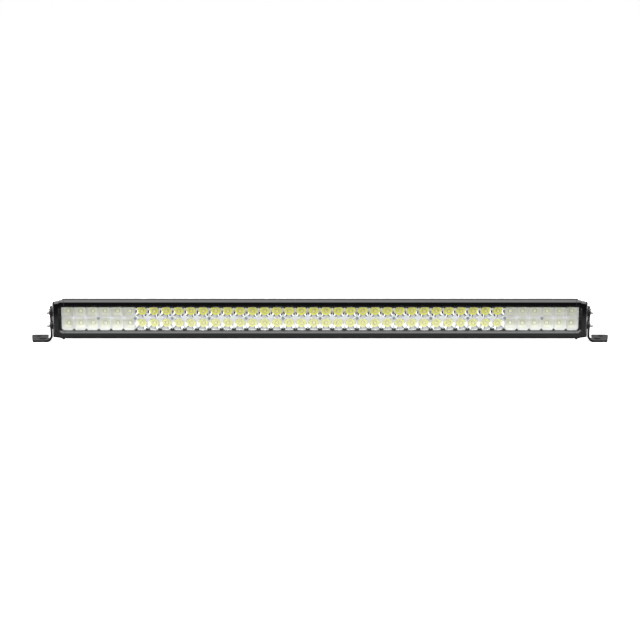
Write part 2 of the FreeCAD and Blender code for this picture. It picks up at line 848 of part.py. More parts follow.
def make_foot():
    """Foot plate that spreads towards the rear and outboard."""
    start_x = ear_inner_x + plate + bend_r
    corners = [
        (start_x, foot_front_y),
        (foot_front_x, foot_front_y),
        (foot_rear_x, foot_rear_y),
        (foot_rear_inner_x, foot_rear_y),
        (start_x, ear_y + strap_half_width),
    ]
    points = [Vec(px, py, 0) for px, py in corners]
    foot = Part.Face(Part.makePolygon(points + points[:1])).extrude(Vec(0, 0, plate))
    upright = [edge for edge in foot.Edges if abs(edge.tangentAt(edge.FirstParameter).z) > 0.9]
    rounded = [edge for edge in upright if edge.Vertexes[0].X > start_x + 1]
    foot = foot.makeFillet(foot_corner_r, rounded)
    slot_reach = slot_length / 2 - foot_hole_r
    slot = box(slot_x - slot_reach, slot_x + slot_reach, -foot_hole_r, foot_hole_r, 0, plate)
    for sign in (-1, 1):
        slot = slot.fuse(rod(foot_hole_r, Vec(slot_x + sign * slot_reach, 0, 0), Z_AXIS, plate))
    return foot.cut(slot).cut(rod(foot_hole_r, Vec(hole_x, hole_y, 0), Z_AXIS, plate))


def make_bracket(side):
    ear = ear_outline()
    ear = ear.cut(rod(m6_clearance_r - 0.15, Vec(ear_inner_x, ear_y, pivot_z), X_AXIS, plate))
    ear = ear.cut(arc_slot())
    return mirrored(fused([ear, make_bend(), make_foot()]), side)


# ---- bracket bolts and washers ----
def make_bracket_bolt(side, z):
    """M6 hexagon bolt: head outboard, shank through ear and boss."""
    head_x = outer_face_x + side_gap + flat_washer + spring_washer
    tip_x = boss_x - bolt_reach + 1.0
    shank = rod(m6_r, Vec(tip_x, ear_y, z), X_AXIS, head_x - tip_x)
    head = hex_prism(10.0, Vec(head_x, ear_y, z), 1, bolt_head)
    bevel = Part.makeCone(7.0, 4.6, bolt_head + 1.0, Vec(head_x, ear_y, z), X_AXIS)
    return mirrored(shank.fuse(head.common(bevel)), side)


def make_flat_washers(side):
    start = outer_face_x + side_gap
    rings = [ring_x(6.0, m6_r, start, start + flat_washer, ear_y, z) for z in (pivot_z, clamp_z)]
    return mirrored(Part.makeCompound(rings), side)


def make_spring_washers(side):
    """Split rings under the bolt heads."""
    start = outer_face_x + side_gap + flat_washer
    rings = []
    for z in (pivot_z, clamp_z):
        ring = ring_x(5.4, m6_r, start, start + spring_washer, ear_y, z)
        split = box(start, start + spring_washer, ear_y - 0.6, ear_y + 0.6, z, z + 6.0)
        rings.append(ring.cut(split))
    return mirrored(Part.makeCompound(rings), side)


def make_friction_washers(side):
    """Thin washers between the cap bosses and the ear."""
    end = ear_inner_x - side_gap
    rings = [ring_x(boss_r - 0.5, m6_r, boss_x, end, ear_y, z) for z in (pivot_z, clamp_z)]
    return mirrored(Part.makeCompound(rings), side)


# ---- all nodes ----
def all_parts():
    parts = {
        "heat_sink_housing": make_housing(),
        "lens_cover": make_lens(),
        "lens_gasket": make_lens_gasket(),
        "lens_retainer_upper": make_lens_retainer(1),
        "lens_retainer_lower": make_lens_retainer(-1),
        "reflector_screws": make_reflector_screws(),
        "thermal_pad": make_thermal_pad(),
        "board_jumpers": make_board_jumpers(),
        "driver_inductors": make_driver_inductors(),
        "driver_capacitors": make_driver_capacitors(),
        "cable_gland_body": make_gland_body(),
        "cable_gland_seal": make_gland_seal(),
        "cable_gland_nut": make_gland_nut(),
        "vent_body": make_vent_body(),
        "vent_membrane": make_vent_membrane(),
    }
    for module in range(module_count):
        name = "reflector_spot_%d" % module
        if is_flood(module):
            name = "reflector_flood_left" if module == 0 else "reflector_flood_right"
        parts[name] = make_reflector(module)
        parts["led_board_%d" % (module + 1)] = make_led_board(module)
        parts["led_emitters_%d" % (module + 1)] = make_emitters(module)
    for name, side in SIDES:
        parts["end_cap_" + name] = make_end_cap(side)
        parts["end_cap_gasket_" + name] = make_cap_gasket(side)
        parts["end_cap_screws_" + name] = make_cap_screws(side)
        parts["test_port_screw_" + name] = make_test_port_screw(side)
        parts["driver_board_" + name] = make_driver_board(side)
        parts["bracket_" + name] = make_bracket(side)
        parts["pivot_bolt_" + name] = make_bracket_bolt(side, pivot_z)
        parts["clamp_bolt_" + name] = make_bracket_bolt(side, clamp_z)
        parts["flat_washers_" + name] = make_flat_washers(side)
        parts["spring_washers_" + name] = make_spring_washers(side)
        parts["friction_washers_" + name] = make_friction_washers(side)
    return parts


os.makedirs("parts", exist_ok=True)
for node, shape in all_parts().items():
    shape.exportStep("parts/%s.step" % node)
    volume = shape.Volume / 1000
    print("%-24s solids %2d valid %s volume %.1f cm3" % (node, len(shape.Solids), shape.isValid(), volume))
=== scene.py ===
"""Looks of the LED light bar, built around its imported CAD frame.

CAD nodes that keep their shape get a material. Metal and moulded parts are shown again with broken edges.
The reflector trays and the LED packages are modelled here in full.
"""

import math

import bmesh
import bpy
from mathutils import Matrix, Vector


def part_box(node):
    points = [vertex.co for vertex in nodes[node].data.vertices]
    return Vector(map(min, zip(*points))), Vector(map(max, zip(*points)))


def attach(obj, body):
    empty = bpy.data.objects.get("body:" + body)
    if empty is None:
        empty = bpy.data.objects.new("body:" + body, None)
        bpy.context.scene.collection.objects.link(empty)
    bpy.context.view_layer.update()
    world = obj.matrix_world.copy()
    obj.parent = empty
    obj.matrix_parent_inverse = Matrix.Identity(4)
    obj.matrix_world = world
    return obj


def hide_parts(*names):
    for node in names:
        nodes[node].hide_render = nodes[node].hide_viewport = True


MM = 0.001

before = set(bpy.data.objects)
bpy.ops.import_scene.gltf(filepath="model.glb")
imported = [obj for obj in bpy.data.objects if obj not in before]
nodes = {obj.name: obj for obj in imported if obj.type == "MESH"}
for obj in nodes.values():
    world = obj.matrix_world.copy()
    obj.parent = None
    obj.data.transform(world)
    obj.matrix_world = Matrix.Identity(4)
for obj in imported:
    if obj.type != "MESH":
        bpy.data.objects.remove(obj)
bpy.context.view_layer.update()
scene = bpy.context.scene


# ---- node helpers ----
# Places of the colour sockets of a Mix node, whose names repeat
MIX_FIRST = 6
MIX_SECOND = 7
MIX_RESULT = 2

# The part of a noise's range over which a material changes
NOISE_LOW = 0.3
NOISE_HIGH = 0.7


def colour_ramp(tree, source, stops):
    """Colours along a value, from (position, colour or grey) stops."""
    node = tree.nodes.new("ShaderNodeValToRGB")
    ramp = node.color_ramp
    while len(ramp.elements) < len(stops):
        ramp.elements.new(0.5)
    for element, (position, value) in zip(ramp.elements, stops):
        grey = not hasattr(value, "__len__")
        element.position = position
        element.color = (value, value, value, 1.0) if grey else (*value, 1.0)
    tree.links.new(source, node.inputs["Fac"])
    return node.outputs["Color"]


def unit_range(tree, source, low, high, interpolation="LINEAR"):
    """A value from low to high, stretched to run from 0 to 1."""
    node = tree.nodes.new("ShaderNodeMapRange")
    node.interpolation_type = interpolation
    node.inputs["From Min"].default_value = low
    node.inputs["From Max"].default_value = high
    tree.links.new(source, node.inputs["Value"])
    return node.outputs["Result"]


def mixed_colour(tree, factor, first, second):
    """Blend of two colour sockets by a grey socket."""
    node = tree.nodes.new("ShaderNodeMix")
    node.data_type = "RGBA"
    tree.links.new(factor, node.inputs["Factor"])
    tree.links.new(first, node.inputs[MIX_FIRST])
    tree.links.new(second, node.inputs[MIX_SECOND])
    return node.outputs[MIX_RESULT]


def mixed_shader(tree, factor, first, second):
    """Blend of two shader sockets by a grey socket."""
    node = tree.nodes.new("ShaderNodeMixShader")
    tree.links.new(factor, node.inputs["Fac"])
    tree.links.new(first, node.inputs[1])
    tree.links.new(second, node.inputs[2])
    return node.outputs["Shader"]


def arithmetic(tree, operation, first, second):
    """Sum, difference or product of two values, each a socket or a number."""
    node = tree.nodes.new("ShaderNodeMath")
    node.operation = operation
    for value, socket in zip((first, second), node.inputs):
        if isinstance(value, float):
            socket.default_value = value
        else:
            tree.links.new(value, socket)
    return node.outputs["Value"]


class Shader:
    """A node material with one Principled shader, built up step by step."""

    def __init__(self, name):
        self.material = bpy.data.materials.new(name)
        self.material.use_nodes = True
        self.tree = self.material.node_tree
        self.tree.nodes.clear()
        self.output = self.tree.nodes.new("ShaderNodeOutputMaterial")
        self.surface = self.tree.nodes.new("ShaderNodeBsdfPrincipled")
        self.link(self.surface.outputs["BSDF"], self.output.inputs["Surface"])
        place = self.tree.nodes.new("ShaderNodeTexCoord")
        self.place = place.outputs["Object"]

    def link(self, source, target):
        self.tree.links.new(source, target)

    def set(self, **values):
        """Constant values on the shader's own sockets."""
        for key, value in values.items():
            self.surface.inputs[key.replace("_", " ")].default_value = value

    def stretched(self, stretch):
        """Coordinates scaled differently along each axis."""
        node = self.tree.nodes.new("ShaderNodeMapping")
        node.inputs["Scale"].default_value = stretch
        self.link(self.place, node.inputs["Vector"])
        return node.outputs["Vector"]

    def noise(self, size, detail=2.0, stretch=None):
        """Noise whose lumps are about size metres across."""
        node = self.tree.nodes.new("ShaderNodeTexNoise")
        node.inputs["Scale"].default_value = 1.0 / size
        node.inputs["Detail"].default_value = detail
        self.link(self.stretched(stretch) if stretch else self.place, node.inputs["Vector"])
        return node.outputs["Fac"]

    def cells(self, size):
        """Distance to the nearest of many scattered points, about size metres apart."""
        node = self.tree.nodes.new("ShaderNodeTexVoronoi")
        node.inputs["Scale"].default_value = 1.0 / size
        self.link(self.place, node.inputs["Vector"])
        return node.outputs["Distance"]

    def ramp(self, source, stops):
        """Colours along a value, from (position, colour or grey) stops."""
        return colour_ramp(self.tree, source, stops)

    def slow_change(self, noise, first, second):
        """Runs from one colour or grey to another over the middle of a noise's range."""
        return self.ramp(noise, [(NOISE_LOW, first), (NOISE_HIGH, second)])

    def depth(self, front, back):
        """Grey that runs from 0 at one depth to 1 at another."""
        split = self.tree.nodes.new("ShaderNodeSeparateXYZ")
        self.link(self.place, split.inputs["Vector"])
        return unit_range(self.tree, split.outputs["Y"], front, back, "SMOOTHSTEP")

    def colour(self, source):
        self.link(source, self.surface.inputs["Base Color"])

    def roughness(self, middle, spread, size):
        """Roughness that changes slowly about a middle value."""
        source = self.slow_change(self.noise(size), middle - spread, middle + spread)
        self.link(source, self.surface.inputs["Roughness"])

    def bump(self, height, distance, strength=1.0):
        """Bump on top of any bump added before."""
        node = self.tree.nodes.new("ShaderNodeBump")
        node.inputs["Strength"].default_value = strength
        node.inputs["Distance"].default_value = distance
        self.link(height, node.inputs["Height"])
        before = self.surface.inputs["Normal"].links
        if before:
            self.link(before[0].from_socket, node.inputs["Normal"])
        self.link(node.outputs["Normal"], self.surface.inputs["Normal"])


def around(colour, spread):
    """Two colours a little darker and a little lighter than one."""
    return tuple(c * (1 - spread) for c in colour), tuple(c * (1 + spread) for c in colour)


# ---- materials ----
def powder_coat(name, colour, rough, grain, height):
    """Satin powder coat: fine orange peel, with slow changes of colour and gloss."""
    shader = Shader(name)
    dark, light = around(colour, 0.25)
    shader.colour(shader.slow_change(shader.noise(30 * MM, 3.0), dark, light))
    shader.roughness(rough, 0.03, 4 * MM)
    shader.bump(shader.noise(grain, 1.0), height)
    return shader


def extruded_black():
    """Powder coat over the faint draw lines of the extrusion, which run along X."""
    colour = (0.0022, 0.0022, 0.0024)
    shader = powder_coat("extruded_black", colour, rough=0.11, grain=0.6 * MM, height=0.006 * MM)
    draw_lines = shader.noise(0.8 * MM, stretch=(0.01, 1.0, 1.0))
    shader.bump(draw_lines, 0.005 * MM, 0.5)
    return shader.material


def cast_black():
    """Powder coat over the fine pebbles of a cast skin."""
    colour = (0.0026, 0.0026, 0.0028)
    shader = powder_coat("cast_black", colour, rough=0.12, grain=0.8 * MM, height=0.008 * MM)
    shader.bump(shader.cells(1.1 * MM), 0.006 * MM, 0.6)
    return shader.material


def bracket_black():
    """Powder coat over smooth steel plate."""
    colour = (0.0026, 0.0026, 0.0028)
    return powder_coat("bracket_black", colour, rough=0.13, grain=0.7 * MM, height=0.007 * MM).material


def brushed(name, colour, rough, stretch):
    """Bare metal with fine lines along one axis."""
    shader = Shader(name)
    lines = shader.noise(0.4 * MM, 3.0, stretch=stretch)
    dark, light = around(colour, 0.12)
    shader.colour(shader.ramp(lines, [(0.35, dark), (0.65, light)]))
    shader.roughness(rough, 0.06, 3 * MM)
    shader.bump(lines, 0.008 * MM)
    shader.set(Metallic=1.0)
    return shader.material


def chrome():
    """Metallised plastic with a trace of haze."""
    shader = Shader("reflector_chrome")
    shader.colour(shader.slow_change(shader.noise(20 * MM), (0.93, 0.93, 0.95), (0.96, 0.96, 0.96)))
    shader.roughness(0.05, 0.02, 6 * MM)
    shader.set(Metallic=1.0)
    return shader.material


def frosted_chrome():
    """Stippled metallised plastic, with a painted yellow reflection of the phosphor deep in the cups."""
    shader = Shader("reflector_frosted")
    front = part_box("reflector_flood_left")[0].y
    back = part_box("led_board_1")[0].y
    # Painted reflection: from this depth back, the cups turn yellow as if mirroring the phosphor.
    painted_reflection_start = 0.4 * front + 0.6 * back
    clean = shader.slow_change(shader.noise(10 * MM), (0.95, 0.94, 0.96), (0.98, 0.97, 0.99))
    painted_phosphor_reflection = shader.slow_change(shader.noise(4 * MM), (0.94, 0.94, 0.76), (0.97, 0.97, 0.84))
    shader.colour(mixed_colour(shader.tree, shader.depth(painted_reflection_start, back), clean, painted_phosphor_reflection))
    shader.roughness(0.46, 0.06, 2 * MM)
    shader.bump(shader.cells(1.2 * MM), 0.25 * MM)
    shader.set(Metallic=0.5)
    return shader.material


def clear_lens():
    """Clear cover: mirrors a little where a ray enters it and lets the rest through."""
    polycarbonate_ior = 1.58
    shader = Shader("lens_clear")
    tree = shader.tree
    shader.set(Base_Color=(1, 1, 1, 1), Metallic=1.0)
    shader.roughness(0.02, 0.01, 50 * MM)
    clear = tree.nodes.new("ShaderNodeBsdfTransparent")
    clear.inputs["Color"].default_value = (0.975, 0.985, 0.98, 1)
    gloss = tree.nodes.new("ShaderNodeFresnel")
    gloss.inputs["IOR"].default_value = polycarbonate_ior
    face = tree.nodes.new("ShaderNodeNewGeometry")
    entering = arithmetic(tree, "SUBTRACT", 1.0, face.outputs["Backfacing"])
    mirrored_share = arithmetic(tree, "MULTIPLY", gloss.outputs["Fac"], entering)
    surface = mixed_shader(tree, mirrored_share, clear.outputs["BSDF"], shader.surface.outputs["BSDF"])
    shader.link(surface, shader.output.inputs["Surface"])
    return shader.material


def phosphor(name, colour, coat, glow):
    """Yellow phosphor, with or without resin over it, with a painted glow: emission that brightens it
    though the LEDs are off.
    """
    shader = Shader(name)
    dark, light = around(colour, 0.05)
    shader.colour(shader.slow_change(shader.noise(0.3 * MM, 3.0), dark, light))
    shader.set(Roughness=0.35, Coat_Weight=coat, Coat_Roughness=0.04)
    # Painted light: this emission lifts the phosphor as if lit, though the LEDs are off.
    shader.set(Emission_Color=(*colour, 1), Emission_Strength=glow)
    return shader.material


def soft(name, colour, rough, grain, height):
    """Rubber or moulded plastic with a fine grain."""
    shader = Shader(name)
    dark, light = around(colour, 0.2)
    shader.colour(shader.slow_change(shader.noise(10 * MM), dark, light))
    shader.roughness(rough, 0.06, 3 * MM)
    shader.bump(shader.noise(grain), height)
    return shader.material


def board_white():
    """White solder mask with copper tracks faintly raised under it."""
    shader = Shader("led_board_white")
    tracks = shader.tree.nodes.new("ShaderNodeTexBrick")
    tracks.inputs["Scale"].default_value = 1.0 / (12 * MM)
    tracks.inputs["Mortar Size"].default_value = 0.04
    tracks.inputs["Color1"].default_value = (0.82, 0.82, 0.79, 1)
    tracks.inputs["Color2"].default_value = (0.8, 0.8, 0.77, 1)
    tracks.inputs["Mortar"].default_value = (0.68, 0.68, 0.64, 1)
    upright = shader.tree.nodes.new("ShaderNodeMapping")
    upright.inputs["Rotation"].default_value = (math.pi / 2, 0, 0)
    shader.link(shader.place, upright.inputs["Vector"])
    shader.link(upright.outputs["Vector"], tracks.inputs["Vector"])
    shader.colour(tracks.outputs["Color"])
    shader.set(Roughness=0.45)
    shader.bump(tracks.outputs["Fac"], 0.04 * MM, 0.5)
    return shader.material


def board_green():
    """Green solder mask, mottled by the copper under it."""
    shader = Shader("driver_board_green")
    dark = (0.02, 0.16, 0.06)
    light = (0.03, 0.22, 0.09)
    shader.colour(shader.ramp(shader.cells(4 * MM), [(0.2, dark), (0.6, light)]))
    shader.set(Roughness=0.35)
    shader.bump(shader.noise(2 * MM), 0.03 * MM)
    return shader.material


MATERIALS = {
    "extruded": extruded_black(),
    "cast": cast_black(),
    "bracket": bracket_black(),
    "stainless": brushed("stainless", (0.62, 0.62, 0.61), rough=0.28, stretch=(1.0, 1.0, 0.05)),
    "zinc": brushed("zinc_plate", (0.52, 0.55, 0.58), rough=0.3, stretch=(0.2, 1.0, 1.0)),
    "black_oxide": brushed("black_oxide", (0.05, 0.05, 0.055), rough=0.4, stretch=(1.0, 1.0, 0.1)),
    "chrome": chrome(),
    "frosted": frosted_chrome(),
    "lens": clear_lens(),
    "dome": phosphor("emitter_dome", (0.92, 0.88, 0.15), coat=0.6, glow=0.32),
    "package": phosphor("emitter_package", (0.9, 0.86, 0.22), coat=0.0, glow=0.24),
    # Paler, more glowing copies for the lower row of spot cups: a painted reflection on the phosphor.
    "sheen_painted_dome": phosphor("emitter_light_dome", (0.93, 0.91, 0.34), coat=0.6, glow=0.42),
    "sheen_painted_package": phosphor("emitter_light_package", (0.92, 0.9, 0.42), coat=0.0, glow=0.34),
    "pale_dome": phosphor("emitter_pale_dome", (0.93, 0.92, 0.66), coat=0.3, glow=0.25),
    "pale_package": phosphor("emitter_pale_package", (0.93, 0.92, 0.74), coat=0.0, glow=0.25),
    "rubber": soft("black_rubber", (0.02, 0.02, 0.02), rough=0.7, grain=0.5 * MM, height=0.03 * MM),
    "nylon": soft("black_nylon", (0.02, 0.02, 0.022), rough=0.5, grain=0.6 * MM, height=0.04 * MM),
    "pad": soft("grey_pad", (0.4, 0.41, 0.43), rough=0.8, grain=0.7 * MM, height=0.05 * MM),
    "film": soft("white_film", (0.8, 0.8, 0.78), rough=0.6, grain=0.4 * MM, height=0.02 * MM),
    "insulation": soft("white_insulation", (0.78, 0.78, 0.75), rough=0.5, grain=0.5 * MM, height=0.02 * MM),
    "ferrite": soft("dark_ferrite", (0.06, 0.06, 0.065), rough=0.55, grain=0.5 * MM, height=0.04 * MM),
    "can": brushed("capacitor_can", (0.55, 0.55, 0.56), rough=0.3, stretch=(1.0, 0.1, 1.0)),
    "board": board_white(),
    "driver": board_green(),
}

# Materials of CAD nodes by the start of their names; nodes that pieces replace fall back to nylon
NODE_MATERIALS = {
    "end_cap_gasket_": "rubber",
    "friction_washers_": "nylon",
    "lens_cover": "lens",
    "lens_gasket": "rubber",
    "lens_retainer_": "nylon",
    "led_board_": "board",
    "thermal_pad": "pad",
    "board_jumpers": "insulation",
    "driver_board_": "driver",
    "driver_inductors": "ferrite",
    "driver_capacitors": "can",
    "cable_gland_seal": "rubber",
    "vent_membrane": "film",
}

# CAD parts shown again with broken edges: material, record slot, width of the edge
EDGED = {
    "heat_sink_housing": ("extruded", "housing_black", 0.35 * MM),
    "end_cap_left": ("cast", "housing_black", 0.5 * MM),
    "end_cap_right": ("cast", "housing_black", 0.5 * MM),
    "end_cap_screws_": ("black_oxide", "screw_black", 0.3 * MM),
    "test_port_screw_": ("black_oxide", "screw_black", 0.2 * MM),
    "bracket_left": ("bracket", "bracket_black", 0.8 * MM),
    "bracket_right": ("bracket", "bracket_black", 0.8 * MM),
    "pivot_bolt_": ("stainless", "stainless", 0.25 * MM),
    "clamp_bolt_": ("stainless", "stainless", 0.25 * MM),
    "flat_washers_": ("stainless", "stainless", 0.25 * MM),
    "spring_washers_": ("stainless", "stainless", 0.25 * MM),
    "reflector_screws": ("zinc", "screw_zinc", 0.45 * MM),
    "cable_gland_body": ("nylon", "plastic_black", 0.4 * MM),
    "cable_gland_nut": ("nylon", "plastic_black", 0.4 * MM),
    "vent_body": ("nylon", "plastic_black", 0.4 * MM),
}

# Edged parts that don't ride on the bar itself
BRACKET_BODIES = {"bracket_left": "left_bracket", "bracket_right": "right_bracket"}


def best_match(table, name):
    """The entry whose key is the longest start of a name, or None."""
    found = [key for key in table if name.startswith(key)]
    return table[max(found, key=len)] if found else None


def paint_nodes():
    """Every CAD node gets its material."""
    for name, node in nodes.items():
        edged = best_match(EDGED, name)
        key = edged[0] if edged else best_match(NODE_MATERIALS, name)
        node.data.materials.clear()
        node.data.materials.append(MATERIALS[key or "nylon"])


# ---- pieces ----
def finished_mesh(shape, name):
    """A mesh from a bmesh, which is freed, with every face smooth."""
    mesh = bpy.data.meshes.new(name)
    shape.to_mesh(mesh)
    shape.free()
    for face in mesh.polygons:
        face.use_smooth = True
    return mesh


def new_piece(name, mesh, body, materials, node):
    """A finished mesh that rides on a body and stands for a CAD node."""
    piece = bpy.data.objects.new(name, mesh)
    scene.collection.objects.link(piece)
    for key in materials:
        mesh.materials.append(MATERIALS[key])
    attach(piece, body)
    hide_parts(node)
    return piece


# ---- CAD parts with broken edges ----
JOIN_DISTANCE = 0.02 * MM
FLAT_ANGLE = math.radians(1.0)
BROKEN_ANGLE = math.radians(35)
LARGEST_FACE_ONLY = 100


def clean_copy(node):
    """The node's mesh with its double points joined and its flat faces whole."""
    shape = bmesh.new()
    shape.from_mesh(nodes[node].data)
    bmesh.ops.remove_doubles(shape, verts=shape.verts, dist=JOIN_DISTANCE)
    bmesh.ops.dissolve_limit(
        shape, angle_limit=FLAT_ANGLE, verts=shape.verts, edges=shape.edges, use_dissolve_boundaries=False
    )
    return finished_mesh(shape, node + "_finished")


def edged_piece(node, material, slot, width):
    """The CAD part again, with its sharp edges broken and its flat faces shaded flat."""
    body = BRACKET_BODIES.get(node, "bar")
    piece = new_piece(node + "_finished", clean_copy(node), body, [material], node)
    bevel = piece.modifiers.new("broken_edges", "BEVEL")
    bevel.width = width
    bevel.segments = 2
    bevel.limit_method = "ANGLE"
    bevel.angle_limit = BROKEN_ANGLE
    normals = piece.modifiers.new("flat_faces", "WEIGHTED_NORMAL")
    normals.weight = LARGEST_FACE_ONLY


# ---- reflector trays ----
PITCH = 24 * MM
ROWS = 2
SEGMENTS = 48
TRAY_WALL = 0.35 * MM
TRAY_CREASE = math.radians(50)
LIP = 0.25 * MM
SPOT_RIM = 11.6 * MM
SPOT_FOCUS_DEPTH = 11 * MM
SPOT_FOCAL_LENGTH = (math.hypot(SPOT_FOCUS_DEPTH, SPOT_RIM) - SPOT_FOCUS_DEPTH) / 2
FLOOD_RIM = 11.5 * MM
FLOOD_BACK = 4.2 * MM
FLOOD_CORNER = 5.0 * MM

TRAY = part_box("reflector_spot_3")
TRAY_FRONT = TRAY[0].y
TRAY_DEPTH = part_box("led_board_4")[0].y - TRAY_FRONT
MIDDLE_Z = (TRAY[0].z + TRAY[1].z) / 2
TRAY_HALF = TRAY[1].z - MIDDLE_Z
CELLS_HALF = ROWS * PITCH / 2

# Painted shade: the web between the cups is painted black near two edges of the tray, as shade from the
# bezel:
# all along the upper one, and only beside each cup along the lower one
PAINTED_SHADE_HEIGHT = 3.6 * MM
NOTCH_START = 8.5 * MM
WEB_MATERIAL = 1
PAINTED_SHADE_MATERIAL = 2

SAME_PLACE = 0.01 * MM
WELD_DISTANCE = 0.004 * MM


def even_steps(count):
    """Places of a number of cups, a pitch apart and even about 0."""
    return [(k - (count - 1) / 2) * PITCH for k in range(count)]


def spot_rings(direction):
    """Radius and depth of the rings of a round parabolic cup, the same in every direction."""
    steps = 15
    vertex_depth = SPOT_FOCUS_DEPTH + SPOT_FOCAL_LENGTH
    back = math.sqrt(4 * SPOT_FOCAL_LENGTH * (vertex_depth - TRAY_DEPTH))
    rings = [(SPOT_RIM + LIP, 0.0), (SPOT_RIM + 0.3 * LIP, 0.3 * LIP), (SPOT_RIM, LIP)]
    for k in range(1, steps + 1):
        radius = SPOT_RIM + (back - SPOT_RIM) * k / steps
        rings.append((radius, vertex_depth - radius ** 2 / (4 * SPOT_FOCAL_LENGTH)))
    return rings


def rounded_square(half, corner, direction):
    """Distance from the middle to the edge of a rounded square, in one direction."""
    long_side = max(abs(direction[0]), abs(direction[1]))
    short_side = min(abs(direction[0]), abs(direction[1]))
    centre = half - corner
    if half * short_side / long_side <= centre:
        return half / long_side
    along = centre * (long_side + short_side)
    return along + math.sqrt(along ** 2 - 2 * centre ** 2 + corner ** 2)


def flood_rings(direction):
    """Radius and depth of the rings of a rounded square cup, in one direction."""
    steps = 14
    rings = [
        (rounded_square(FLOOD_RIM + LIP, FLOOD_CORNER, direction), 0.0),
        (rounded_square(FLOOD_RIM + 0.3 * LIP, FLOOD_CORNER, direction), 0.3 * LIP),
        (rounded_square(FLOOD_RIM, FLOOD_CORNER, direction), LIP),
    ]
    for k in range(1, steps + 1):
        share = math.sin(math.pi / 2 * k / steps)
        half = FLOOD_BACK + (FLOOD_RIM - FLOOD_BACK) * math.sqrt(max(0.0, 1 - share ** 2))
        corner = min(FLOOD_CORNER, 0.7 * half)
        rings.append((rounded_square(half, corner, direction), max(LIP, TRAY_DEPTH * share)))
    return rings


def cell_edge(centre_x, centre_z, direction, low_x, high_x):
    """Where the square cell of a cup ends in one direction, kept to the tray's own edges."""
    reach = PITCH / 2 / max(abs(direction[0]), abs(direction[1]))
    x = min(max(centre_x + reach * direction[0], low_x), high_x)
    z = centre_z + reach * direction[1]
    if abs(abs(z - MIDDLE_Z) - CELLS_HALF) < SAME_PLACE:
        z = MIDDLE_Z + math.copysign(TRAY_HALF, z - MIDDLE_Z)
    return x, TRAY_FRONT, z


def web_material(face, centre_x):
    """Which of the tray's materials a face of the web has: black painted shade near the edges, else the
    web's own.
    """
    middle = face.calc_center_median()
    near_edge = abs(middle.z - MIDDLE_Z) > CELLS_HALF - PAINTED_SHADE_HEIGHT
    upper = middle.z > MIDDLE_Z
    beside_cup = abs(middle.x - centre_x) > NOTCH_START
    return PAINTED_SHADE_MATERIAL if near_edge and (upper or beside_cup) else WEB_MATERIAL


def add_cup(shape, centre_x, centre_z, low_x, high_x, rings_towards):
    """One cell: a piece of the front web and the cup in it."""
    columns = []
    for k in range(SEGMENTS):
        angle = 2 * math.pi * k / SEGMENTS
        direction = (math.cos(angle), math.sin(angle))
        column = [shape.verts.new(cell_edge(centre_x, centre_z, direction, low_x, high_x))]
        for radius, depth in rings_towards(direction):
            x = centre_x + radius * direction[0]
            z = centre_z + radius * direction[1]
            column.append(shape.verts.new((x, TRAY_FRONT + depth, z)))
        columns.append(column)
    for column, after in zip(columns, columns[1:] + columns[:1]):
        for k in range(len(column) - 1):
            face = shape.faces.new((column[k], after[k], after[k + 1], column[k + 1]))
            if k == 0:
                face.material_index = web_material(face, centre_x)


def make_tray(node, material, rings_towards):
    """A tray of two rows of cups, a thin metallised moulding."""
    low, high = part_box(node)
    middle = (low.x + high.x) / 2
    shape = bmesh.new()
    for offset_x in even_steps(round((high.x - low.x) / PITCH)):
        for offset_z in even_steps(ROWS):
            add_cup(shape, middle + offset_x, MIDDLE_Z + offset_z, low.x, high.x, rings_towards)
    bmesh.ops.remove_doubles(shape, verts=shape.verts, dist=WELD_DISTANCE)
    bmesh.ops.recalc_face_normals(shape, faces=shape.faces)
    shape.faces.ensure_lookup_table()
    if shape.faces[0].normal.y > 0:
        bmesh.ops.reverse_faces(shape, faces=shape.faces)
    mesh = finished_mesh(shape, node + "_cups")
    mesh.set_sharp_from_angle(angle=TRAY_CREASE)
    # The black nylon material is the painted shade on the web near the tray's edges.
    piece = new_piece(node + "_cups", mesh, "bar", [material, "frosted", "nylon"], node)
    wall = piece.modifiers.new("wall", "SOLIDIFY")
    wall.thickness = TRAY_WALL
    wall.offset = -1.0


# ---- LED packages ----
BASE_HALF = 2.5 * MM
BASE_HEIGHT = 0.7 * MM
BASE_EDGE = 0.12 * MM
DOME_RADIUS = 2.4 * MM
DOME_RINGS = 8
DOME_SEGMENTS = 24
PACKAGE_CREASE = math.radians(40)


def add_box(shape, low, high, edge, material):
    """A box with broken edges."""
    made = bmesh.ops.create_cube(shape, size=1.0)["verts"]
    for vert in made:
        for axis in range(3):
            vert.co[axis] = low[axis] if vert.co[axis] < 0 else high[axis]
    sides = list(dict.fromkeys(side for vert in made for side in vert.link_edges))
    result = bmesh.ops.bevel(shape, geom=sides, offset=edge, segments=2, affect="EDGES", profile=0.5)
    for face in {face for vert in result["verts"] for face in vert.link_faces}:
        face.material_index = material


def add_ring(shape, centre, radius, y):
    """Points of a circle that faces along Y."""
    ring = []
    for k in range(DOME_SEGMENTS):
        angle = 2 * math.pi * k / DOME_SEGMENTS
        x = centre[0] + radius * math.cos(angle)
        z = centre[2] + radius * math.sin(angle)
        ring.append(shape.verts.new((x, y, z)))
    return ring


def add_dome(shape, centre, radius, material):
    """Half a ball that looks towards -Y, closed at its flat side."""
    rings = []
    for k in range(DOME_RINGS):
        angle = math.pi / 2 * k / DOME_RINGS
        y = centre[1] - radius * math.sin(angle)
        rings.append(add_ring(shape, centre, radius * math.cos(angle), y))
    tip = shape.verts.new((centre[0], centre[1] - radius, centre[2]))
    faces = [shape.faces.new(list(reversed(rings[0])))]
    for lower, upper in zip(rings, rings[1:]):
        for k in range(DOME_SEGMENTS):
            after = (k + 1) % DOME_SEGMENTS
            faces.append(shape.faces.new((lower[k], lower[after], upper[after], upper[k])))
    for k in range(DOME_SEGMENTS):
        after = (k + 1) % DOME_SEGMENTS
        faces.append(shape.faces.new((rings[-1][k], rings[-1][after], tip)))
    for face in faces:
        face.material_index = material


